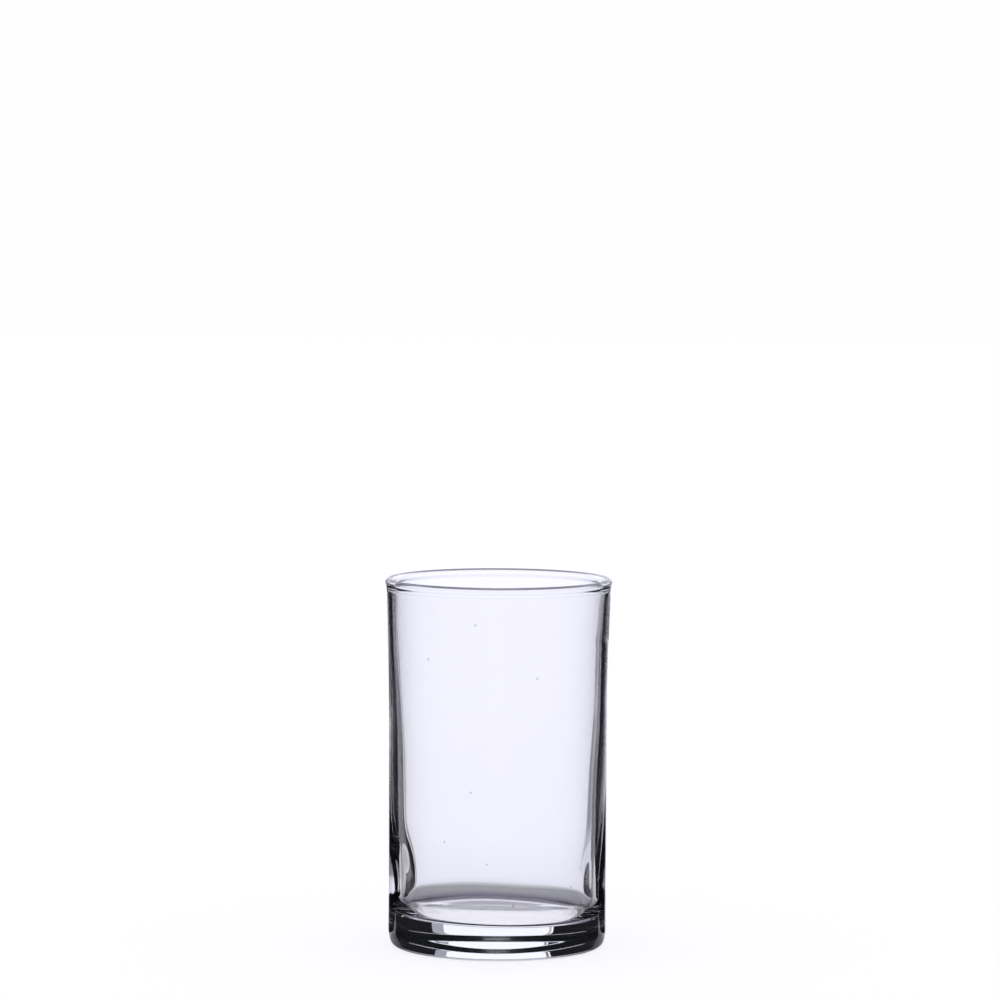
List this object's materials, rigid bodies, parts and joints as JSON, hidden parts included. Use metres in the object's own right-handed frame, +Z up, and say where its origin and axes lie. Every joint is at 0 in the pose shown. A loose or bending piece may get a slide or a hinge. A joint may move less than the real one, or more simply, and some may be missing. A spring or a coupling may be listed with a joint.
{
  "type": "juice glass",
  "caption": "Small clear heavy-based tumbler: nearly straight round wall, slim rounded bead at the rim, thick base with a soft heel, flat ring to stand on.",
  "frame": {"origin": "middle of the face the glass rests on, at table height", "axes": "+Z up along the glass's axis of symmetry, from the base to the open mouth; X and Y are alike"},
  "size_m": [0.0584, 0.0584, 0.095],
  "materials": {
    "clear_glass": "polished, clear soda-lime glass"
  },
  "bodies": {
    "root": {"tumbler": "clear_glass"}
  },
  "joints": []
}
